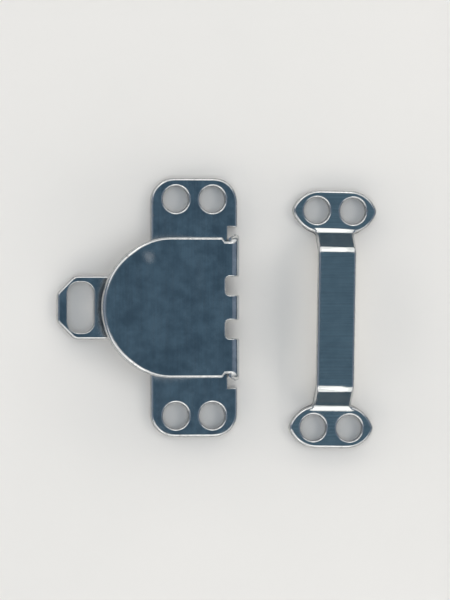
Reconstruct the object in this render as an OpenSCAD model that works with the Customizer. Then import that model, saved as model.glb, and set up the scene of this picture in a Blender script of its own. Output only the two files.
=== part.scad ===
// Sew-on hook and eye clasp for a waistband, pressed from bright plated sheet steel:
// a hook folded from one sheet, and its eye bar, which lies beside the fold.
// X runs from the hook's thread loop to the eye bar, Y along the garment's edge and
// Z up from the cloth. The origin is under the middle of the pair. All in millimetres.

/* [Sheet] */
// Thickness of the sheet that both pieces are pressed from
sheet_t = 0.45; // [0.4:0.05:0.5]

/* [Sewing holes] */
// Radius of a round sewing hole
hole_r = 1; // [0.8:0.05:1.15]
// Distance between the two holes at one end of a piece
hole_pitch = 2.85; // [2.6:0.05:3.1]
// Distance between the hook's two rows of holes
hook_hole_span = 16.7; // [15.8:0.1:16.9]
// Distance between the eye bar's two rows of holes
bar_hole_span = 16.85; // [16.6:0.05:17.2]

/* [Hook plate] */
// Length of the plate along the garment's edge
plate_len = 20; // [19.5:0.1:22]
// Width of the plate
plate_w = 6.8; // [6.4:0.1:7.4]
// Radius of the plate's four outer corners
plate_corner_r = 1.85; // [0.6:0.05:2.2]

/* [Thread loop] */
// Length of the whole hook, from the loop's end to the outside of the fold
hook_len = 14.05; // [13.6:0.05:15.5]
// Width of the loop
loop_w = 4.9; // [4.6:0.1:5.6]
// How far the cut corners of the loop's end reach along the hook; across it they reach 4/3 as far
loop_cut_x = 1.17; // [0.9:0.03:1.2]
// Rounding of the cut corners
loop_corner_r = 0.6; // [0.3:0.06:0.78]
// Width of the thread slot
slot_w = 2.1; // [1.85:0.05:2.3]
// Length of the thread slot, across the hook
slot_len = 3.9; // [3:0.05:4.1]
// Radius of the slot's corners
slot_corner_r = 0.9; // [0.3:0.05:1]
// Metal between the slot and the loop's end
slot_rim = 0.77; // [0.6:0.01:1]
// Fillets where the loop's arm widens into the plate, under the tongue
arm_fillet_r = 1.2; // [0.4:0.1:1.8]

/* [Tongue and fold] */
// Radius of the tongue's round front, and half of its width
tongue_r = 5.4; // [5.2:0.05:5.5]
// Clear height between the plate and the tongue, where the eye bar goes in
mouth_gap = 0.9; // [0.8:0.05:1.2]
// Outside radius of the fold's two bends
fold_r = 0.75; // [0.6:0.05:0.75]
// Width of the sheet where it leaves the plate and where it joins the tongue
neck_w = 10.2; // [9.6:0.1:10.4]
// How far each end of the fold bulges out half way up
fold_bulge = 0.55; // [0.2:0.05:0.6]
// Length of the stretch of the tongue that is narrowed to the neck
neck_len = 0.45; // [0.2:0.05:0.6]
// Length of the step from the tongue's width to the neck's
neck_step = 0.2; // [0.1:0.05:0.4]
// Distance from the middle of the hook to the far side of a relief notch
notch_reach = 6.2; // [6.1:0.05:6.5]
// Width of the two windows cut through the fold
window_w = 1.4; // [0.8:0.1:1.8]
// Distance between the middles of the two windows
window_pitch = 3.34; // [2.6:0.02:4.6]
// How far the windows reach in from the outside of the fold
window_depth = 1.18; // [1:0.02:1.6]
// Radius of the inner corners of a window
window_corner_r = 0.3; // [0.1:0.05:0.35]

/* [Eye bar] */
// Length of the eye bar over both feet
bar_len = 20; // [19.6:0.1:20.6]
// Width of the raised strip that the hook catches
strip_w = 3; // [2.4:0.1:3.4]
// Length of the strip's flat top
bridge_len = 10.1; // [9.6:0.1:10.4]
// Clear height under the strip
bar_rise = 1.35; // [1:0.05:1.5]
// Slope of the strip's two legs, in degrees
leg_angle = 42; // [40:1:60]
// Inside radius of the bends at the ends of the flat top
bend_r = 0.45; // [0.3:0.05:0.55]
// Inside radius of the bends where the legs reach the feet
foot_bend_r = 0.8; // [0.4:0.05:1]
// Width of a foot over its two points
foot_w = 6.7; // [6.4:0.1:7.2]
// Radius of a foot's shoulders on the outer side
foot_end_r = 2.3; // [2.1:0.05:2.5]
// Radius of a foot's shoulders on the side of the strip
foot_neck_r = 2.5; // [2.2:0.05:2.7]
// Distance from the middle of a foot to its edge on the side of the strip
foot_neck_reach = 1.8; // [1.7:0.05:1.9]

/* [Layout] */
// Gap between the fold's outside and the nearest point of the eye bar
pair_gap = 4.04; // [2:0.02:8]
// How far the eye bar's middle lies below the hook's, along Y
pair_stagger = 0.92; // [0.5:0.02:1.5]
// Turn of the eye bar seen from above, in degrees
bar_turn = -1; // [-3:0.5:-0.5]

/* [Hidden] */
$fn = 96;
cut_past = 1;

// The hook's own origin is under the middle of the tongue's round front.
plate_x = tongue_r - plate_w;
loop_x = tongue_r - hook_len;
loop_cut_y = loop_cut_x * 4 / 3;
slot_x = loop_x + slot_rim + slot_w / 2;
hook_h = 2 * sheet_t + mouth_gap;
fold_x = tongue_r - fold_r;

// The bar's own origin is under the middle of its strip.
outer_reach = (bar_len - bar_hole_span) / 2;
mid_bends_r = bend_r + foot_bend_r + sheet_t;
leg_drop = bar_rise - mid_bends_r * (1 - cos(leg_angle));
leg_len = leg_drop / sin(leg_angle);
foot_bend_y = bridge_len / 2 + mid_bends_r * sin(leg_angle) + leg_len * cos(leg_angle);
bar_h = bar_rise + sheet_t;

// Half of the turned bar's extent, the pair's reach from the hook's middle, and the two
// places that centre the pair on the origin.
flat_half = foot_w / 2 - shoulder_reach(foot_end_r, outer_reach);
bar_half_x = foot_w / 2 * cos(bar_turn) + bar_hole_span / 2 * abs(sin(bar_turn));
bar_half_y = bar_len / 2 * cos(bar_turn) + flat_half * abs(sin(bar_turn));
pair_len = hook_len + pair_gap + 2 * bar_half_x;
pair_top = max(plate_len / 2, bar_half_y - pair_stagger);
pair_bottom = min(-plate_len / 2, -bar_half_y - pair_stagger);
hook_pos = [pair_len / 2 - 2 * bar_half_x - pair_gap - tongue_r, -(pair_top + pair_bottom) / 2, 0];
bar_pos = [pair_len / 2 - bar_half_x, hook_pos.y - pair_stagger, 0];

// How far a shoulder of radius r reaches sideways, where its top lies at the given reach.
function shoulder_reach(r, reach) = sqrt(r * r - (r - reach) * (r - reach));

// A plate's outline with every corner rounded to radius r.
function unit(v) = v / norm(v);
function half_angle(a, b) = acos(unit(a) * unit(b)) / 2;
module rounded_outline(points, r) {
    last = len(points) - 1;
    ends = [for (i = [0 : last])
        let (p = points[i],
             a = points[i == 0 ? last : i - 1] - p,
             b = points[i == last ? 0 : i + 1] - p,
             back = r / tan(half_angle(a, b)))
        [p + unit(a) * back, p + unit(b) * back,
         p + unit(unit(a) + unit(b)) * r / sin(half_angle(a, b))]];
    polygon([for (e = ends) each [e[0], e[1]]]);
    for (e = ends) translate(e[2]) circle(r);
}

// The rectangle of a given size round the origin, as corner points.
function corners(w, h) = [[-w, -h], [w, -h], [w, h], [-w, h]] / 2;

module sewing_holes(span) {
    for (x = [-1, 1], y = [-1, 1])
        translate([x * hole_pitch / 2, y * span / 2, -cut_past])
            cylinder(r = hole_r, h = sheet_t + 2 * cut_past);
}

// The arm with the loop at its end; its other end lies within the plate.
module loop_outline() {
    w = loop_w / 2;
    rounded_outline(
        [[0, -w], [0, w], [loop_x + loop_cut_x, w], [loop_x, w - loop_cut_y],
         [loop_x, loop_cut_y - w], [loop_x + loop_cut_x, -w]],
        loop_corner_r);
}

// The two inside corners between the loop's arm and the plate, filled to a quarter round.
module arm_fillets() {
    for (side = [-1, 1])
        difference() {
            translate([plate_x - arm_fillet_r, side * loop_w / 2 - (side < 0 ? arm_fillet_r : 0)])
                square(arm_fillet_r);
            translate([plate_x - arm_fillet_r, side * (loop_w / 2 + arm_fillet_r)])
                circle(arm_fillet_r);
        }
}

module base_plate() {
    linear_extrude(sheet_t)
        difference() {
            union() {
                translate([plate_x + plate_w / 2, 0])
                    rounded_outline(corners(plate_w, plate_len), plate_corner_r);
                loop_outline();
                arm_fillets();
            }
            translate([slot_x, 0])
                rounded_outline(corners(slot_w, slot_len), slot_corner_r);
            // The relief notches end where the sheet between them turns up into the fold.
            translate([fold_x, -notch_reach]) square([fold_r + cut_past, 2 * notch_reach]);
        }
}

module tongue() {
    neck_x = fold_x - neck_len;
    translate([0, 0, hook_h - sheet_t])
        linear_extrude(sheet_t) {
            intersection() {
                circle(tongue_r);
                translate([-tongue_r, -tongue_r]) square([tongue_r, 2 * tongue_r]);
            }
            for (side = [-1, 1])
                polygon([[0, 0], [0, side * tongue_r], [neck_x - neck_step, side * tongue_r],
                         [neck_x, side * neck_w / 2], [fold_x, side * neck_w / 2], [fold_x, 0]]);
        }
}

// The fold seen from its end: two bends with a short wall between them.
module fold_profile() {
    for (side = [-1, 1])
        translate([0, hook_h / 2 + side * (hook_h / 2 - fold_r)])
            intersection() {
                difference() {
                    circle(fold_r);
                    circle(fold_r - sheet_t);
                }
                translate([0, (side - 1) * fold_r / 2]) square(fold_r);
            }
    translate([fold_r - sheet_t, fold_r]) square([sheet_t, hook_h - 2 * fold_r]);
}

// The fold joins the plate to the tongue, and its two ends bulge half way up.
module fold() {
    w = neck_w / 2;
    out = w + fold_bulge;
    mid = hook_h / 2;
    intersection() {
        translate([fold_x, 0, 0])
            rotate([90, 0, 0])
                linear_extrude(2 * out, center = true) fold_profile();
        rotate([90, 0, 90])
            linear_extrude(tongue_r + cut_past)
                polygon([[-w, 0], [w, 0], [out, mid], [w, hook_h], [-w, hook_h], [-out, mid]]);
    }
}

// An opening that runs in from the outside of the fold, with rounded inner corners.
module fold_window() {
    r = window_corner_r;
    translate([tongue_r - window_depth, 0, -cut_past])
        linear_extrude(hook_h + 2 * cut_past) {
            translate([r, -window_w / 2]) square([window_depth + cut_past, window_w]);
            translate([0, r - window_w / 2]) square([window_depth, window_w - 2 * r]);
            for (side = [-1, 1])
                translate([r, side * (window_w / 2 - r)]) circle(r);
        }
}

module hook() {
    color("lightslategray")
        translate(hook_pos)
            difference() {
                union() {
                    base_plate();
                    tongue();
                    fold();
                }
                translate([plate_x + plate_w / 2, 0, 0]) sewing_holes(hook_hole_span);
                for (side = [-1, 1])
                    translate([0, side * window_pitch / 2, 0]) fold_window();
            }
}

// A bend that turns the sheet by an angle, up if it is above zero, round the inside radius r.
// The sheet comes in along X with its underside at zero, and the children carry on after the bend.
module bend(angle, r) {
    far = 2 * (r + sheet_t);
    centre = [0, angle < 0 ? -r : sheet_t + r];
    translate(centre) {
        intersection() {
            difference() {
                circle(r + sheet_t);
                circle(r);
            }
            translate([0, -far]) square([far, 2 * far]);
            rotate(angle) translate([-far, -far]) square([far, 2 * far]);
        }
        rotate(angle) translate(-centre) children();
    }
}

// One half of the strip seen from the side: half of the bridge, a leg and a foot.
module side_profile() {
    translate([0, bar_rise]) {
        square([bridge_len / 2, sheet_t]);
        translate([bridge_len / 2, 0]) bend(-leg_angle, bend_r) {
            square([leg_len, sheet_t]);
            translate([leg_len, 0]) bend(leg_angle, foot_bend_r)
                square([bar_len / 2 + cut_past - foot_bend_y, sheet_t]);
        }
    }
}

// A band with round ends, as wide as a foot at its points and as far out as the given reach.
module shoulder_band(r, reach) {
    x = foot_w / 2 - shoulder_reach(r, reach);
    translate([0, reach - r]) {
        for (side = [-1, 1]) translate([side * x, 0]) circle(r);
        translate([-x, -r]) square([2 * x, 2 * r]);
    }
}

// A foot comes to a point at each side; +Y is its outer side.
module foot_outline() {
    intersection() {
        shoulder_band(foot_end_r, outer_reach);
        mirror([0, 1]) shoulder_band(foot_neck_r, foot_neck_reach);
    }
}

module bar_outline() {
    square([strip_w, bar_hole_span], center = true);
    for (turn = [0, 180])
        rotate(turn) translate([0, bar_hole_span / 2]) foot_outline();
}

module eye_bar() {
    color("lightslategray")
        translate(bar_pos)
            rotate(bar_turn)
                difference() {
                    intersection() {
                        for (turn = [0, 180])
                            rotate(turn)
                                rotate([90, 0, 90])
                                    linear_extrude(foot_w + 2 * cut_past, center = true)
                                        side_profile();
                        translate([0, 0, -cut_past])
                            linear_extrude(bar_h + 2 * cut_past) bar_outline();
                    }
                    sewing_holes(bar_hole_span);
                }
}

hook();
eye_bar();
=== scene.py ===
import math

import bmesh
import bpy
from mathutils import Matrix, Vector


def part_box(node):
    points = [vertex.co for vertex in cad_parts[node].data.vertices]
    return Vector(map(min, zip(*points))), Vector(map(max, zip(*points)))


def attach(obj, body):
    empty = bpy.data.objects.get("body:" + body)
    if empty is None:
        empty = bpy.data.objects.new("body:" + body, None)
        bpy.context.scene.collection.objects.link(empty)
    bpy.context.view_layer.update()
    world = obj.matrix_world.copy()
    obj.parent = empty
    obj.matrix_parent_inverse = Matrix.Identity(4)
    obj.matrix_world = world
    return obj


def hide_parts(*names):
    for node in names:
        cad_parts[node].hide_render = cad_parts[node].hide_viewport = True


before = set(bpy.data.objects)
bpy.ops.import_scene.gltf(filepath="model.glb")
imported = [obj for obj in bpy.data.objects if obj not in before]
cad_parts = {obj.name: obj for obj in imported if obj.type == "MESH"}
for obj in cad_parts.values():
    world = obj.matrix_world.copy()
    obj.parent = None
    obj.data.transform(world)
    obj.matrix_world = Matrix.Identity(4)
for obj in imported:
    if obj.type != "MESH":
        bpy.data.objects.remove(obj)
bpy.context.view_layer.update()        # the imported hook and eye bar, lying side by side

mm = 0.001               # sizes are in millimetres here, Blender works in metres
tiny = 0.002             # how near two places count as the same, in mm
doubled = 0.0001         # how near two corners of a mesh are one corner made twice, in mm
past = 1.0               # how far a cutter reaches past the sheet, in mm
holeSides = 64           # sides of the peg that punches a round hole
flatAngle = math.radians(0.5)
sharpAngle = math.radians(30)
smoothAngle = math.radians(35)
wallSlope = 0.5          # a face whose normal rises less than this is a wall


def selectOnly(piece):
    if bpy.context.mode != "OBJECT":
        bpy.ops.object.mode_set(mode="OBJECT")
    bpy.ops.object.select_all(action="DESELECT")
    piece.select_set(True)
    bpy.context.view_layer.objects.active = piece


def editOnly(piece):
    selectOnly(piece)
    bpy.ops.object.mode_set(mode="EDIT")
    bpy.ops.mesh.select_all(action="DESELECT")


# Selects the corners or faces that pass the test, which gets each corner in mm.
def pick(piece, kind, test):
    bpy.ops.mesh.select_mode(type=kind)
    bpy.ops.mesh.select_all(action="DESELECT")
    mesh = bmesh.from_edit_mesh(piece.data)
    for part in mesh.verts if kind == "VERT" else mesh.faces:
        corners = [part] if kind == "VERT" else part.verts
        if all(test(*(corner.co / mm)) for corner in corners):
            part.select_set(True)
    mesh.select_flush_mode()
    bmesh.update_edit_mesh(piece.data)


def near(a, b):
    return abs(a - b) < tiny


# A block between two corners in mm. Its upright edges that pass the test are rounded.
def addSlab(name, low, high, radius=0, test=lambda x, y: True, steps=12):
    middle = [(a + b) / 2 * mm for a, b in zip(low, high)]
    size = [(b - a) * mm for a, b in zip(low, high)]
    bpy.ops.object.select_all(action="DESELECT")
    bpy.ops.mesh.primitive_cube_add(size=1, location=middle, scale=size)
    slab = bpy.context.active_object
    slab.name = name
    bpy.ops.object.transform_apply(location=True, rotation=True, scale=True)
    if radius:
        roundUprights(slab, radius, test, steps)
    return slab


def pickUprights(piece, test):
    editOnly(piece)
    bpy.ops.mesh.select_mode(type="EDGE")
    mesh = bmesh.from_edit_mesh(piece.data)
    for edge in mesh.edges:
        a, b = (corner.co / mm for corner in edge.verts)
        if near(a.x, b.x) and near(a.y, b.y) and test(a.x, a.y):
            edge.select_set(True)
    bmesh.update_edit_mesh(piece.data)


def roundUprights(piece, radius, test, steps):
    pickUprights(piece, test)
    bpy.ops.mesh.bevel(offset=radius * mm, segments=steps, affect="EDGES", clamp_overlap=False)
    bpy.ops.object.mode_set(mode="OBJECT")


# Rounds the upright edges at some corners, once the small steps that crowd them are gone.
def roundCorners(piece, corners, reach, steps):
    def gap(x, y):
        return min(math.hypot(x - i, y - j) for i, j in corners)
    pickUprights(piece, lambda x, y: 2 * tiny < gap(x, y) < 1.3 * reach)
    bpy.ops.mesh.dissolve_edges(use_verts=True)
    bpy.ops.mesh.select_all(action="SELECT")
    bpy.ops.mesh.delete_loose()
    roundUprights(piece, reach, lambda x, y: gap(x, y) < 2 * tiny, steps)


def addPeg(name, x, y, low, high, radius, sides):
    bpy.ops.object.select_all(action="DESELECT")
    bpy.ops.mesh.primitive_cylinder_add(vertices=sides, radius=radius * mm, depth=(high - low) * mm,
                                        location=(x * mm, y * mm, (low + high) / 2 * mm))
    peg = bpy.context.active_object
    peg.name = name
    bpy.ops.object.transform_apply(location=True, rotation=True, scale=True)
    return peg


# Joins, cuts or keeps the common part of two closed meshes; the tool is used up.
def combine(piece, tool, operation):
    selectOnly(piece)
    step = piece.modifiers.new(name=operation, type="BOOLEAN")
    step.operation = operation
    step.object = tool
    step.solver = "EXACT"
    bpy.ops.object.modifier_apply(modifier=step.name)
    bpy.data.objects.remove(tool, do_unlink=True)


# Pushes the selected end face on by a distance in mm.
def pushOut(x=0, y=0, z=0):
    bpy.ops.mesh.extrude_region_move(TRANSFORM_OT_translate={"value": (x * mm, y * mm, z * mm)})


# Bends the sheet up past a line, as a press does: its middle layer keeps its length as it goes
# round the radius. The line starts at a place in mm and faces a heading in degrees.
def pressBend(piece, start, heading, angle, radius, test=lambda x, y, z: True, steps=12):
    heading, angle = math.radians(heading), math.radians(angle)
    along = Vector((math.cos(heading), math.sin(heading), 0))
    start, run = Vector(start), radius * abs(angle)
    editOnly(piece)
    for i in range(steps + 1):
        pick(piece, "FACE", test)
        bpy.ops.mesh.bisect(plane_co=(start + along * run * i / steps) * mm, plane_no=along,
                            threshold=tiny * mm)
    pick(piece, "VERT", test)
    piece.vertex_groups.new(name="pastTheLine")
    bpy.ops.object.vertex_group_assign()
    bpy.ops.object.mode_set(mode="OBJECT")

    line = bpy.data.objects.new("bendLine", None)
    bpy.context.scene.collection.objects.link(line)
    line.location = start * mm
    line.rotation_euler = (math.radians(90), 0, heading)
    reach = [(corner.co / mm - start).dot(along) for corner in piece.data.vertices]
    low, high = min(reach), max(reach)
    step = piece.modifiers.new(name="pressBend", type="SIMPLE_DEFORM")
    step.deform_method = "BEND"
    step.deform_axis = "Z"
    step.origin = line
    step.angle = angle
    step.limits = (-low / (high - low), (run - low) / (high - low))
    step.vertex_group = "pastTheLine"
    selectOnly(piece)
    bpy.ops.object.modifier_apply(modifier=step.name)
    piece.vertex_groups.clear()
    bpy.data.objects.remove(line)


# Cuts the whole piece through at each place along x or y, in mm.
def cutAcross(piece, axis, places):
    editOnly(piece)
    for place in places:
        bpy.ops.mesh.select_all(action="SELECT")
        bpy.ops.mesh.bisect(plane_co=[place * mm * a for a in axis], plane_no=axis,
                            threshold=tiny * mm)
    bpy.ops.object.mode_set(mode="OBJECT")


# Clears the doubled corners and the edges inside flat faces that the joins left.
def clearFlats(piece):
    editOnly(piece)
    bpy.ops.mesh.select_all(action="SELECT")
    bpy.ops.mesh.remove_doubles(threshold=doubled * mm)
    bpy.ops.mesh.dissolve_limited(angle_limit=flatAngle)
    bpy.ops.mesh.select_all(action="SELECT")
    bpy.ops.mesh.normals_make_consistent(inside=False)
    bpy.ops.object.mode_set(mode="OBJECT")


# Rounds each sharp outer edge as far as rule(a, b) gives in mm. The flats take the first finish,
# the rounded rims and smooth walls the second and the other walls the third.
def roundEdges(piece, finishes, widest, steps, rule, smoothWall=lambda x, y: False):
    for finish in finishes:
        piece.data.materials.append(finish)
    selectOnly(piece)
    mesh = bmesh.new()
    mesh.from_mesh(piece.data)
    weight = mesh.edges.layers.float.new("bevel_weight_edge")
    for edge in mesh.edges:
        if len(edge.link_faces) == 2 and edge.is_convex and edge.calc_face_angle() > sharpAngle:
            a, b = (corner.co / mm for corner in edge.verts)
            edge[weight] = rule(a, b) / widest
    for face in mesh.faces:
        x, y, z = face.calc_center_median() / mm
        wall = 1 if smoothWall(x, y) else 2
        face.material_index = wall if abs(face.normal.z) < wallSlope else 0
    mesh.to_mesh(piece.data)
    mesh.free()
    step = piece.modifiers.new(name="rolledEdges", type="BEVEL")
    step.limit_method = "WEIGHT"
    step.width = widest * mm
    step.segments = steps
    step.use_clamp_overlap = False
    step.loop_slide = False
    step.material = 1
    bpy.ops.object.modifier_apply(modifier=step.name)


hookSizes = {
    "sheet": 0.45,            # thickness of the steel
    "plateWidth": 6.8,
    "plateLength": 20.0,
    "plateCorner": 1.85,
    "holeRadius": 1.0,
    "holePitch": 2.85,
    "holeSpan": 16.7,
    "length": 14.05,          # from the loop's end to the outside of the fold
    "loopWidth": 4.9,
    "loopCut": 1.35,          # cut corners of the loop's end
    "loopRounding": 0.6,
    "slotWidth": 2.1,
    "slotLength": 3.9,
    "slotCorner": 0.9,
    "slotRim": 0.77,
    "armFillet": 1.2,
    "tongueRadius": 5.4,
    "mouth": 0.9,             # clear height under the tongue
    "foldRadius": 0.75,       # outside of each bend
    "neckHalf": 5.1,
    "neckLength": 0.45,       # flat stretch past the fold, before the tongue widens
    "neckStep": 0.2,
    "bulge": 0.55,            # how far the fold's ends swell half way up
    "notchReach": 6.2,
    "earMargin": 0.3,         # the sheet folds up to this far from the notches' ends
    "windowWidth": 1.4,
    "windowPitch": 3.34,
    "windowDepth": 1.18,
    "windowCorner": 0.3,
    "windowsWithin": 3.0,     # both windows lie nearer the middle than this
    "frontSides": 160,        # sides of the peg that makes the tongue's round front
    "tongueRollover": 0.37,   # rounded rim that the punch leaves at the tongue's front
    "sideRollover": 0.2,      # and along its straight sides
    "frontFade": 0.6,         # share of the radius over which one turns into the other
    "plateRollover": 0.22,
    "loopRollover": 0.19,
    "holeRollover": 0.18,
    "slotRollover": 0.09,
    "foldRollover": 0.12,
    "endRollover": 0.22,      # at the fold's two ends, which the bending draws out smooth
    "burrSide": 0.07,
    "dentAt": (-1.82, 3.9),   # small dent in the tongue, from the middle of its round front
    "dentDepth": 0.012,
    "dentRadius": 8.0,        # of the ball that would leave it
}


# The hook is punched flat, its rims are rolled, and then it is folded over.
def makeHook(finishes):
    s = hookSizes
    low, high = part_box("hook")
    sheet = s["sheet"]
    top = 2 * sheet + s["mouth"]
    middleRadius = s["foldRadius"] - sheet / 2
    bendRun = middleRadius * math.pi / 2
    wall = top - 2 * s["foldRadius"]
    plateX = s["tongueRadius"] - s["plateWidth"]
    loopX = s["tongueRadius"] - s["length"]
    foldX = s["tongueRadius"] - s["foldRadius"]
    tongueX = 2 * foldX + 2 * bendRun + wall          # tongue's centre while it is flat
    windowX = s["tongueRadius"] - s["windowDepth"]
    slotX = loopX + s["slotRim"]

    # base plate with its rounded ears
    hook = addSlab("hookBody", (plateX, -s["plateLength"] / 2, 0),
                   (s["tongueRadius"], s["plateLength"] / 2, sheet), s["plateCorner"])

    # arm and thread loop: the end's corners are cut, then softened
    half = s["loopWidth"] / 2
    arm = addSlab("arm", (loopX, -half, 0), (0, half, sheet), s["loopCut"],
                  lambda x, y: near(x, loopX), steps=1)
    roundUprights(arm, s["loopRounding"] * math.tan(math.radians(22.5)),
                  lambda x, y: x < loopX + s["loopCut"] + tiny, 6)
    combine(hook, arm, "UNION")
    clearFlats(hook)
    roundUprights(hook, s["armFillet"], lambda x, y: near(x, plateX) and near(abs(y), half), 8)

    # notches beside the fold
    combine(hook, addSlab("notches", (foldX, -s["notchReach"], -past),
                          (foldX + 2 * past, s["notchReach"], past)), "DIFFERENCE")
    # the tongue is half a disc, drawn back from its cut face and narrowed for the neck
    neckEnd = tongueX - foldX + s["neckLength"]
    strip = addPeg("tongue", tongueX, 0, 0, sheet, s["tongueRadius"], s["frontSides"])
    editOnly(strip)
    bpy.ops.mesh.select_all(action="SELECT")
    bpy.ops.mesh.bisect(plane_co=(tongueX * mm, 0, 0), plane_no=(1, 0, 0), clear_inner=True,
                        use_fill=True, threshold=tiny * mm)
    pick(strip, "FACE", lambda x, y, z: near(x, tongueX))
    pushOut(x=neckEnd + s["neckStep"] - tongueX)
    pushOut(x=-s["neckStep"])
    bpy.ops.transform.resize(value=(1, s["neckHalf"] / s["tongueRadius"], 1))
    pushOut(x=-neckEnd)
    bpy.ops.mesh.select_all(action="SELECT")
    bpy.ops.mesh.normals_make_consistent(inside=False)
    bpy.ops.object.mode_set(mode="OBJECT")
    combine(hook, strip, "UNION")

    # slot for the thread, windows across the fold and sewing holes
    combine(hook, addSlab("slot", (slotX, -s["slotLength"] / 2, -past),
                          (slotX + s["slotWidth"], s["slotLength"] / 2, past), s["slotCorner"]),
            "DIFFERENCE")
    for side in (-1, 1):
        y = side * s["windowPitch"] / 2
        combine(hook, addSlab("window", (windowX, y - s["windowWidth"] / 2, -past),
                              (tongueX - windowX, y + s["windowWidth"] / 2, past),
                              s["windowCorner"], steps=6), "DIFFERENCE")
    plateMiddle = plateX + s["plateWidth"] / 2
    holes = [(plateMiddle + i * s["holePitch"] / 2, j * s["holeSpan"] / 2)
             for i in (-1, 1) for j in (-1, 1)]
    for x, y in holes:
        combine(hook, addPeg("hole", x, y, -past, past, s["holeRadius"], holeSides), "DIFFERENCE")
    clearFlats(hook)
    # no flat face is left with a hole in it, because such a face can't be filled cleanly
    cutAcross(hook, (1, 0, 0), {x for x, y in holes} | {slotX + s["slotWidth"] / 2})
    cutAcross(hook, (0, 1, 0), {y for x, y in holes} | {0})

    def rollover(a, b):
        x, y, z = (a + b) / 2
        if not near(a.z, b.z):
            return s["burrSide"]
        inWindow = x < tongueX - windowX + tiny and abs(y) < s["windowsWithin"]
        if x > tongueX - foldX and near(z, 0) and not inWindow:
            front = max(0, (x - tongueX) / s["tongueRadius"] / s["frontFade"])
            wider = (s["tongueRollover"] - s["sideRollover"]) * min(1, front) ** 2
            return s["sideRollover"] + wider
        if x > foldX + tiny and near(z, 0) and near(abs(y), s["neckHalf"]):
            return s["endRollover"]
        if x > windowX - tiny and abs(y) < s["notchReach"] + tiny:
            return s["foldRollover"] if x < tongueX - foldX or near(z, 0) else s["burrSide"]
        if near(z, 0):
            return s["burrSide"]
        if x < plateX - s["armFillet"] + tiny:
            inSlot = (slotX - tiny < x < slotX + s["slotWidth"] + tiny
                      and abs(y) < s["slotLength"] / 2 + tiny)
            return s["slotRollover"] if inSlot else s["loopRollover"]
        inHole = min(math.hypot(x - i, y - j) for i, j in holes) < s["holeRadius"] + tiny
        return s["holeRollover"] if inHole else s["plateRollover"]

    roundEdges(hook, finishes, s["tongueRollover"], 6, rollover,
               lambda x, y: x > foldX + tiny and near(abs(y), s["neckHalf"]))
    dentX, dentY = tongueX - s["dentAt"][0], s["dentAt"][1]
    cutAcross(hook, (1, 0, 0), {dentX})
    cutAcross(hook, (0, 1, 0), {dentY})
    bpy.ops.object.select_all(action="DESELECT")
    bpy.ops.mesh.primitive_uv_sphere_add(segments=64, ring_count=128, radius=s["dentRadius"] * mm,
                                         location=(dentX * mm, dentY * mm,
                                                   (s["dentDepth"] - s["dentRadius"]) * mm))
    combine(hook, bpy.context.active_object, "DIFFERENCE")

    # the far bend first, so that both are made while the sheet before them lies flat
    ear = s["notchReach"] - s["earMargin"]
    cutAcross(hook, (0, 1, 0), (-ear, ear))
    for start in (foldX + bendRun + wall, foldX):
        pressBend(hook, (start, 0, sheet / 2), 0, 90, middleRadius,
                  lambda x, y, z: abs(y) < ear + tiny)
    for corner in hook.data.vertices:
        if corner.co.x / mm > foldX + tiny and s["windowsWithin"] < abs(corner.co.y / mm) < ear:
            swell = s["bulge"] * math.sin(math.pi * corner.co.z / mm / top)
            corner.co.y += math.copysign(swell, corner.co.y) * mm

    hook.location = (high.x - s["tongueRadius"] * mm, (low.y + high.y) / 2, 0)
    selectOnly(hook)
    bpy.ops.object.transform_apply(location=True, rotation=True, scale=True)
    return hook


barSizes = {
    "sheet": 0.45,
    "length": 20.0,
    "strip": 3.0,             # width of the raised strip
    "bridge": 10.1,           # its flat top
    "rise": 1.35,
    "legAngle": 42,
    "bendRadius": 0.45,       # inside of the bends at the bridge
    "footBendRadius": 0.8,    # inside of the bends at the feet
    "holeRadius": 1.0,
    "holePitch": 2.85,
    "holeSpan": 16.85,
    "footWidth": 6.7,
    "outerRadius": 2.3,       # shoulders on the outer side of a foot
    "innerRadius": 2.5,       # and on the side of the strip
    "innerReach": 1.8,
    "tipRounding": 0.2,       # from the tip's point to where its rounding ends
    "throatRounding": 0.2,
    "turn": -1,               # degrees, seen from above
    "rollover": 0.22,
    "holeRollover": 0.17,
    "burrSide": 0.07,
}


# A slab with round ends whose sides pass through a foot's two points.
def addShoulders(middleY, radius, reach, side):
    s = barSizes
    spread = s["footWidth"] / 2 + radius - math.sqrt(radius ** 2 - (radius - reach) ** 2)
    y = middleY + side * (reach - radius)
    return addSlab("shoulders", (-spread, y - radius, 0), (spread, y + radius, s["sheet"]),
                   radius * 0.9999, steps=32)


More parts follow.
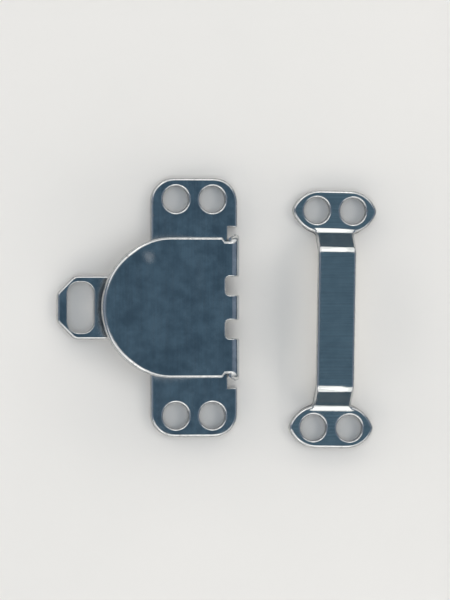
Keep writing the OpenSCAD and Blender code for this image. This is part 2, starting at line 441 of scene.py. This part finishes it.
# The eye bar is punched flat as well, and then bent down and out again at both ends.
def makeEyeBar(finishes):
    s = barSizes
    low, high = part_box("eye_bar")
    sheet, angle = s["sheet"], math.radians(s["legAngle"])
    upper, lower = s["bendRadius"] + sheet / 2, s["footBendRadius"] + sheet / 2
    leg = (s["rise"] - (upper + lower) * (1 - math.cos(angle))) / math.sin(angle)
    bridgeEnd = s["bridge"] / 2
    footBend = bridgeEnd + upper * angle + leg
    # how much longer the flat strip is at each end than the bent one
    spare = (upper + lower) * (angle - math.sin(angle)) + leg * (1 - math.cos(angle))
    footY = s["holeSpan"] / 2 + spare

    bar = addSlab("eyeBarBody", (-s["strip"] / 2, -footY, 0), (s["strip"] / 2, footY, sheet))
    for side in (-1, 1):
        foot = addShoulders(side * footY, s["outerRadius"], (s["length"] - s["holeSpan"]) / 2, side)
        combine(foot, addShoulders(side * footY, s["innerRadius"], s["innerReach"], -side),
                "INTERSECT")
        combine(bar, foot, "UNION")
    holes = [(i * s["holePitch"] / 2, j * footY) for i in (-1, 1) for j in (-1, 1)]
    for x, y in holes:
        combine(bar, addPeg("hole", x, y, -past, past, s["holeRadius"], holeSides), "DIFFERENCE")
    clearFlats(bar)
    tips = [(i * s["footWidth"] / 2, j * footY) for i in (-1, 1) for j in (-1, 1)]
    roundCorners(bar, tips, s["tipRounding"], 6)
    # where a foot's inner shoulder meets the strip
    inner = s["innerRadius"]
    flat = s["footWidth"] / 2 - math.sqrt(inner ** 2 - (inner - s["innerReach"]) ** 2)
    throat = footY - s["innerReach"] + inner - math.sqrt(inner ** 2 - (s["strip"] / 2 - flat) ** 2)
    throats = [(i * s["strip"] / 2, j * throat) for i in (-1, 1) for j in (-1, 1)]
    roundCorners(bar, throats, s["throatRounding"], 6)
    cutAcross(bar, (1, 0, 0), {0})
    cutAcross(bar, (0, 1, 0), {y for x, y in holes})

    def rollover(a, b):
        x, y, z = (a + b) / 2
        if near(z, 0) or not near(a.z, b.z):
            return s["burrSide"]
        inHole = min(math.hypot(x - i, y - j) for i, j in holes) < s["holeRadius"] + tiny
        return s["holeRollover"] if inHole else s["rollover"]

    roundEdges(bar, finishes, s["rollover"], 5, rollover)
    for heading in (-90, 90):
        out = math.copysign(1, heading)
        pressBend(bar, (0, out * footBend, sheet / 2), heading, s["legAngle"], lower)
        pressBend(bar, (0, out * bridgeEnd, sheet / 2), heading, -s["legAngle"], upper)

    bar.rotation_euler.z = math.radians(s["turn"])
    bar.location = ((low.x + high.x) / 2, (low.y + high.y) / 2, s["rise"] * mm)
    selectOnly(bar)
    bpy.ops.object.transform_apply(location=True, rotation=True, scale=True)
    return bar


# An sRGB hex colour as linear light.
def linear(hexColour):
    levels = [int(hexColour[i:i + 2], 16) / 255 for i in (1, 3, 5)]
    return tuple(v / 12.92 if v <= 0.04045 else ((v + 0.055) / 1.055) ** 2.4 for v in levels) + (1,)


# A noise scale that repeats about once in this many millimetres.
def oncePer(millimetres):
    return 1 / (millimetres * mm)


# Adds a node; numbers and colours go on its sockets, other settings on the node.
def addNode(tree, kind, settings=None, links=None):
    node = tree.nodes.new(kind)
    for key, value in (settings or {}).items():
        if isinstance(key, int) or key in node.inputs:
            node.inputs[key].default_value = value
        else:
            setattr(node, key, value)
    for key, source in (links or {}).items():
        tree.links.new(source, node.inputs[key])
    return node


def newMaterial(name):
    material = bpy.data.materials.new(name)
    material.use_nodes = True
    material.node_tree.nodes.clear()
    return material, material.node_tree


noiseSpread = {"From Min": 0.3, "From Max": 0.7}     # nearly all of a noise lies between these

sheetLooks = {
    # the hook's grain runs along the garment's edge, the bar's across its strip, and "lined" is
    # how much of the colour follows the grain instead of the clouds
    "hook": {"name": "nickelPlatedRolledSheet", "colour": "#DCDFE1", "cloudy": "#A4ABB1",
             "grainStretch": (1, 0.03, 1), "lined": 0.25, "roughLow": 0.1, "roughHigh": 0.17},
    "bar": {"name": "nickelPlatedRolledStrip", "colour": "#F0F0EC", "cloudy": "#C6CACB",
            "grainStretch": (0.03, 1, 1), "lined": 0.6, "roughLow": 0.09, "roughHigh": 0.16},
    "cloud": 1.3,             # size of cloudy patches, mm
    "cloudEdge": (0.35, 0.65),    # of the noise, where a patch starts and where it is full
    "grain": 0.14,            # spacing of the rolling lines, drawn coarser than the real 0.03 mm
    "grainDepth": 0.0004,
    "wave": 1.6,              # slight unevenness of the pressed sheet
    "waveDepth": 0.0025,
    "scratch": 2.0,           # distance between stray scratches
    "scratchWidth": 0.03,     # drawn wider than the real 0.01 mm, so that they show
    "scratchDepth": 0.0004,
    "scratchStretch": 0.05,   # long cells, so that the scratches run straight
    "scratchTurns": (24, -51),
    "dull": 0.26,             # roughness under the tongue, where tumbling didn't polish it
    "dullEdge": (0.1, 0.6),   # how far past the tongue it starts to fade and ends, mm
    "dullFold": 0.4,          # over which it fades before the fold, mm
    "dullTop": (0.05, 0.15),  # how far up the tongue it starts to fade and ends, mm
    "scuffed": 0.36,          # roughness in and round the tongue's dent
    "scuffEdge": (0.1, 0.75), # how far from the dent it starts to fade and ends, mm
    "scuffRagged": 0.9,       # how far its edge strays, mm
}


# A mask that is 1 within a distance of a place, fades out past it and reads no height.
def addRoundMask(tree, place, centre, inner, outer):
    flat = addNode(tree, "ShaderNodeMapping", {"Location": (-centre[0] * mm, -centre[1] * mm, 0),
                                               "Scale": (1, 1, 0)}, {"Vector": place})
    away = addNode(tree, "ShaderNodeVectorMath", {"operation": "LENGTH"}, {0: flat.outputs[0]})
    return addFade(tree, away.outputs["Value"], inner, outer)


# 1 up to the first place in mm, 0 past the second.
def addFade(tree, value, first, second):
    return addNode(tree, "ShaderNodeMapRange", {"From Min": first * mm, "From Max": second * mm,
                                                "To Min": 1.0, "To Max": 0.0},
                   {"Value": value}).outputs[0]


def multiply(tree, a, b):
    return addNode(tree, "ShaderNodeMath", {"operation": "MULTIPLY"}, {0: a, 1: b}).outputs[0]


# Bright nickel plated on cold-rolled steel: a clear, slightly cloudy mirror with faint rolling
# lines and a few fine scratches. Under the hook's tongue it stays dull.
def makeSheetFinish(which):
    p, own = sheetLooks, sheetLooks[which]
    material, tree = newMaterial(own["name"])
    place = addNode(tree, "ShaderNodeTexCoord").outputs["Object"]
    cloud = addNode(tree, "ShaderNodeTexNoise", {"Scale": oncePer(p["cloud"]), "Detail": 5.0,
                                                 "Roughness": 0.6}, {"Vector": place})
    patches = addNode(tree, "ShaderNodeMapRange", {"From Min": p["cloudEdge"][0],
                                                   "From Max": p["cloudEdge"][1]},
                      {"Value": cloud.outputs[0]})
    along = addNode(tree, "ShaderNodeMapping", {"Scale": own["grainStretch"]}, {"Vector": place})
    grain = addNode(tree, "ShaderNodeTexNoise", {"Scale": oncePer(p["grain"]), "Detail": 3.0},
                    {"Vector": along.outputs[0]})
    lined = addNode(tree, "ShaderNodeMapRange", noiseSpread, {"Value": grain.outputs[0]})
    tone = addNode(tree, "ShaderNodeMix", {0: own["lined"]},
                   {2: patches.outputs[0], 3: lined.outputs[0]})
    colour = addNode(tree, "ShaderNodeMix", {"data_type": "RGBA", 6: linear(own["colour"]),
                                             7: linear(own["cloudy"])}, {0: tone.outputs[0]})
    wave = addNode(tree, "ShaderNodeTexNoise", {"Scale": oncePer(p["wave"]), "Detail": 2.0},
                   {"Vector": place})
    rough = addNode(tree, "ShaderNodeMapRange",
                    {**noiseSpread, "To Min": own["roughLow"], "To Max": own["roughHigh"]},
                    {"Value": grain.outputs[0]}).outputs[0]
    lines = addNode(tree, "ShaderNodeBump", {"Distance": p["grainDepth"] * mm},
                    {"Height": grain.outputs[0]})
    normal = addNode(tree, "ShaderNodeBump", {"Distance": p["waveDepth"] * mm},
                     {"Height": wave.outputs[0], "Normal": lines.outputs[0]}).outputs[0]
    for turn in p["scratchTurns"]:
        turned = addNode(tree, "ShaderNodeMapping", {"Rotation": (0, 0, math.radians(turn)),
                                                     "Scale": (p["scratchStretch"], 1, 1)},
                         {"Vector": place})
        cells = addNode(tree, "ShaderNodeTexVoronoi", {"feature": "DISTANCE_TO_EDGE",
                                                       "Scale": oncePer(p["scratch"])},
                        {"Vector": turned.outputs[0]})
        scratch = addNode(tree, "ShaderNodeMapRange",
                          {"From Min": 0.0, "From Max": p["scratchWidth"] / 2 / p["scratch"],
                           "To Min": 1.0, "To Max": 0.0}, {"Value": cells.outputs["Distance"]})
        faint = multiply(tree, scratch.outputs[0], patches.outputs[0])
        normal = addNode(tree, "ShaderNodeBump", {"Distance": -p["scratchDepth"] * mm},
                         {"Height": faint, "Normal": normal}).outputs[0]
    if which == "hook":
        s = hookSizes
        low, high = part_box("hook")
        tongueAt = (high.x / mm - s["tongueRadius"], (low.y + high.y) / 2 / mm)
        foldX = high.x / mm - s["foldRadius"]
        axes = addNode(tree, "ShaderNodeSeparateXYZ", links={0: place})
        inner, outer = (s["tongueRadius"] + edge for edge in p["dullEdge"])
        under = addRoundMask(tree, place, tongueAt, inner, outer)
        beforeFold = addFade(tree, axes.outputs["X"], foldX - p["dullFold"], foldX)
        under = multiply(tree, under, beforeFold)
        lower, upper = (s["sheet"] + s["mouth"] + edge for edge in p["dullTop"])
        inMouth = addFade(tree, axes.outputs["Z"], lower, upper)
        under = multiply(tree, under, inMouth)
        rough = addNode(tree, "ShaderNodeMix", {3: p["dull"]}, {0: under, 2: rough}).outputs[0]
        dentAt = [a + b for a, b in zip(tongueAt, s["dentAt"])]
        stray = addNode(tree, "ShaderNodeVectorMath", {"operation": "SUBTRACT", 1: (0.5, 0.5, 0.5)},
                        {0: wave.outputs["Color"]})
        ragged = addNode(tree, "ShaderNodeVectorMath",
                         {"operation": "MULTIPLY_ADD", 1: (p["scuffRagged"] * mm,) * 3},
                         {0: stray.outputs[0], 2: place})
        dent = addRoundMask(tree, ragged.outputs[0], dentAt, *p["scuffEdge"])
        rough = addNode(tree, "ShaderNodeMix", {3: p["scuffed"]}, {0: dent, 2: rough}).outputs[0]
    shader = addNode(tree, "ShaderNodeBsdfPrincipled", {"Metallic": 1.0},
                     {"Base Color": colour.outputs[2], "Roughness": rough, "Normal": normal})
    addNode(tree, "ShaderNodeOutputMaterial", links={"Surface": shader.outputs[0]})
    return material


rimLook = {
    "colour": "#DEDEDD",
    "dulled": "#C2C3C3",
    "worn": "#8D8984",        # where handling has thinned the plating
    "roughLow": 0.1,
    "roughHigh": 0.28,
    "wear": 0.3,              # size of scuffed and worn patches, mm
    "wornEdge": (0.6, 0.72),  # of the noise, where wear starts and where it is deepest
    "wornShare": 0.6,         # of the worn colour where it is deepest
    "scuffDepth": 0.0008,
}


# The rolled-over rims: tumbled smooth and a little brighter, scuffed and here and there worn.
def makeRimFinish():
    p = rimLook
    material, tree = newMaterial("nickelPlatedTumbledRim")
    place = addNode(tree, "ShaderNodeTexCoord").outputs["Object"]
    wear = addNode(tree, "ShaderNodeTexNoise", {"Scale": oncePer(p["wear"]), "Detail": 5.0},
                   {"Vector": place})
    scuffed = addNode(tree, "ShaderNodeMix", {"data_type": "RGBA", 6: linear(p["colour"]),
                                              7: linear(p["dulled"])}, {0: wear.outputs[0]})
    thin = addNode(tree, "ShaderNodeMapRange", {"From Min": p["wornEdge"][0],
                                                "From Max": p["wornEdge"][1],
                                                "To Max": p["wornShare"]},
                   {"Value": wear.outputs[0]})
    colour = addNode(tree, "ShaderNodeMix", {"data_type": "RGBA", 7: linear(p["worn"])},
                     {0: thin.outputs[0], 6: scuffed.outputs[2]})
    rough = addNode(tree, "ShaderNodeMapRange",
                    {**noiseSpread, "To Min": p["roughLow"], "To Max": p["roughHigh"]},
                    {"Value": wear.outputs[0]})
    scuffs = addNode(tree, "ShaderNodeBump", {"Distance": p["scuffDepth"] * mm},
                     {"Height": wear.outputs[0]})
    shader = addNode(tree, "ShaderNodeBsdfPrincipled", {"Metallic": 1.0},
                     {"Base Color": colour.outputs[2], "Roughness": rough.outputs[0],
                      "Normal": scuffs.outputs[0]})
    addNode(tree, "ShaderNodeOutputMaterial", links={"Surface": shader.outputs[0]})
    return material


wallLook = {
    "colour": "#85868A",
    "shadow": "#66686C",
    "roughLow": 0.22,
    "roughHigh": 0.42,
    "shear": 0.09,            # spacing of the upright marks that the punch leaves
    "shearStretch": (1, 1, 0.06),
    "shearDepth": 0.002,
}


# The sheared walls: plated over fine upright shear marks, so greyer and duller than the rims.
def makeWallFinish():
    p = wallLook
    material, tree = newMaterial("nickelPlatedShearedWall")
    place = addNode(tree, "ShaderNodeTexCoord").outputs["Object"]
    upright = addNode(tree, "ShaderNodeMapping", {"Scale": p["shearStretch"]}, {"Vector": place})
    marks = addNode(tree, "ShaderNodeTexNoise", {"Scale": oncePer(p["shear"]), "Detail": 4.0},
                    {"Vector": upright.outputs[0]})
    colour = addNode(tree, "ShaderNodeMix", {"data_type": "RGBA", 6: linear(p["colour"]),
                                             7: linear(p["shadow"])}, {0: marks.outputs[0]})
    rough = addNode(tree, "ShaderNodeMapRange",
                    {**noiseSpread, "To Min": p["roughLow"], "To Max": p["roughHigh"]},
                    {"Value": marks.outputs[0]})
    scored = addNode(tree, "ShaderNodeBump", {"Distance": p["shearDepth"] * mm},
                     {"Height": marks.outputs[0]})
    shader = addNode(tree, "ShaderNodeBsdfPrincipled", {"Metallic": 1.0},
                     {"Base Color": colour.outputs[2], "Roughness": rough.outputs[0],
                      "Normal": scored.outputs[0]})
    addNode(tree, "ShaderNodeOutputMaterial", links={"Surface": shader.outputs[0]})
    return material


# Smooths the rounded places, hides the imported solid that the piece stands in for and hangs the
# piece under the root body.
def finishPiece(piece, node):
    selectOnly(piece)
    bpy.ops.object.shade_smooth_by_angle(angle=smoothAngle)
    flats = piece.modifiers.new(name="flatFaces", type="WEIGHTED_NORMAL")
    flats.keep_sharp = True
    bpy.ops.object.modifier_apply(modifier=flats.name)
    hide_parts(node)
    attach(piece, "root")


floorLook = {
    "size": 900,
    "below": 0.004,           # keeps it clear of the undersides, mm
    "colour": "#EBE8E4",
    "tint": "#E6E4E0",
    "fibre": 14,              # size of its faint patches, mm
    "roughness": 0.9,
}


# Matt white card.
def makeFloor():
    p = floorLook
    bpy.ops.object.select_all(action="DESELECT")
    bpy.ops.mesh.primitive_plane_add(size=p["size"] * mm, location=(0, 0, -p["below"] * mm))
    floor = bpy.context.active_object
    floor.name = "floor"
    material, tree = newMaterial("mattWhiteCard")
    place = addNode(tree, "ShaderNodeTexCoord").outputs["Object"]
    patches = addNode(tree, "ShaderNodeTexNoise", {"Scale": oncePer(p["fibre"]), "Detail": 2.0},
                      {"Vector": place})
    colour = addNode(tree, "ShaderNodeMix", {"data_type": "RGBA", 6: linear(p["colour"]),
                                             7: linear(p["tint"])}, {0: patches.outputs[0]})
    shader = addNode(tree, "ShaderNodeBsdfPrincipled", {"Roughness": p["roughness"]},
                     {"Base Color": colour.outputs[2]})
    addNode(tree, "ShaderNodeOutputMaterial", links={"Surface": shader.outputs[0]})
    floor.data.materials.append(material)


lightSet = {
    # direction from +X, height above the floor in degrees, size in mm, brightness, colour and
    # what it lights: the metal, the card or both
    "front": (-92, 44, (182, 310), 0.98, "#FFFAF4", "both"),
    "back": (92, 41, (182, 250), 0.98, "#FFFAF4", "both"),
    "frontLeft": (-131, 36, (170, 200), 1.0, "#FFFAF4", "metal"),
    "backLeft": (131, 36, (170, 200), 1.0, "#FFFAF4", "metal"),
    "frontRight": (-53, 36, (170, 200), 0.9, "#FFFAF4", "metal"),
    "backRight": (53, 36, (170, 200), 0.9, "#FFFAF4", "metal"),
    "left": (180, 40, (260, 240), 0.18, "#F6F1FF", "both"),
    "right": (0, 40, (200, 240), 0.16, "#F6F1FF", "both"),
    "lowFront": (-90, 12, (220, 40), 9.5, "#FFFAF4", "card"),
    "lowBack": (90, 12, (220, 40), 9.5, "#FFFAF4", "card"),
    "lowFrontLeft": (-140, 12, (220, 40), 11.6, "#FFFAF4", "card"),
    "lowBackLeft": (140, 12, (220, 40), 11.6, "#FFFAF4", "card"),
    "lowFrontRight": (-45, 12, (220, 40), 8.4, "#FFFAF4", "card"),
    "lowBackRight": (45, 12, (220, 40), 8.4, "#FFFAF4", "card"),
    "lowRight": (0, 27, (160, 60), 5.9, "#FFFAF4", "card"),
}
studio = {
    "distance": 250,          # of each light, mm
    "overhead": "#4E6677",    # what the flat faces mirror
    "horizon": "#3A4954",     # what the bar's legs mirror
    "fade": 0.35,             # height where the horizon has faded out, 1 is straight up
}


def makeLights():
    for name, (azimuth, elevation, size, brightness, colour, lights) in lightSet.items():
        a, e = math.radians(azimuth), math.radians(elevation)
        direction = Vector((math.cos(a) * math.cos(e), math.sin(a) * math.cos(e), math.sin(e)))
        bpy.ops.object.light_add(type="AREA", location=direction * studio["distance"] * mm)
        light = bpy.context.active_object
        light.name = name
        light.rotation_euler = direction.to_track_quat("Z", "Y").to_euler()
        light.data.shape = "RECTANGLE"
        light.data.size, light.data.size_y = size[0] * mm, size[1] * mm
        light.data.energy = brightness * math.pi * size[0] * size[1] * mm * mm
        light.data.color = linear(colour)[:3]
        light.visible_diffuse = lights != "metal"
        light.visible_glossy = lights != "card"
    world = bpy.data.worlds.new("studio")
    bpy.context.scene.world = world
    world.use_nodes = True
    tree = world.node_tree
    tree.nodes.clear()
    way = addNode(tree, "ShaderNodeTexCoord").outputs["Generated"]
    axes = addNode(tree, "ShaderNodeSeparateXYZ", links={0: way})
    height = addNode(tree, "ShaderNodeMapRange", {"From Max": studio["fade"]},
                     {"Value": axes.outputs["Z"]})
    colour = addNode(tree, "ShaderNodeMix", {"data_type": "RGBA", 6: linear(studio["horizon"]),
                                             7: linear(studio["overhead"])}, {0: height.outputs[0]})
    glow = addNode(tree, "ShaderNodeBackground", links={"Color": colour.outputs[2]})
    addNode(tree, "ShaderNodeOutputWorld", links={"Surface": glow.outputs[0]})


cameraView = {
    "lean": 10,               # degrees from straight down, towards the thread loop
    "lens": 250,
    "aim": (0.51, 1.05, 0.45),
    "height": 46.33,          # what the picture's long side covers, mm
    "sensor": 36,
    "clip": (0.01, 10),       # metres
}


def makeCamera():
    v = cameraView
    data = bpy.data.cameras.new("camera")
    camera = bpy.data.objects.new("camera", data)
    bpy.context.scene.collection.objects.link(camera)
    lean = math.radians(v["lean"])
    distance = v["height"] * v["lens"] / v["sensor"]
    back = Vector((-math.sin(lean), 0, math.cos(lean)))
    camera.location = (Vector(v["aim"]) + back * distance) * mm
    camera.rotation_euler = (0, -lean, 0)
    data.lens, data.sensor_width = v["lens"], v["sensor"]
    data.clip_start, data.clip_end = v["clip"]
    bpy.context.scene.camera = camera


makeCamera()
rimFinish = makeRimFinish()
wallFinish = makeWallFinish()
hookBody = makeHook((makeSheetFinish("hook"), rimFinish, wallFinish))
print("hook modelled:", len(hookBody.data.polygons), "faces")
eyeBarBody = makeEyeBar((makeSheetFinish("bar"), rimFinish, wallFinish))
print("eye bar modelled:", len(eyeBarBody.data.polygons), "faces")
finishPiece(hookBody, "hook")
finishPiece(eyeBarBody, "eye_bar")
print("finishes applied")
makeFloor()
makeLights()
bpy.context.scene.view_settings.view_transform = "Standard"
print("studio ready")
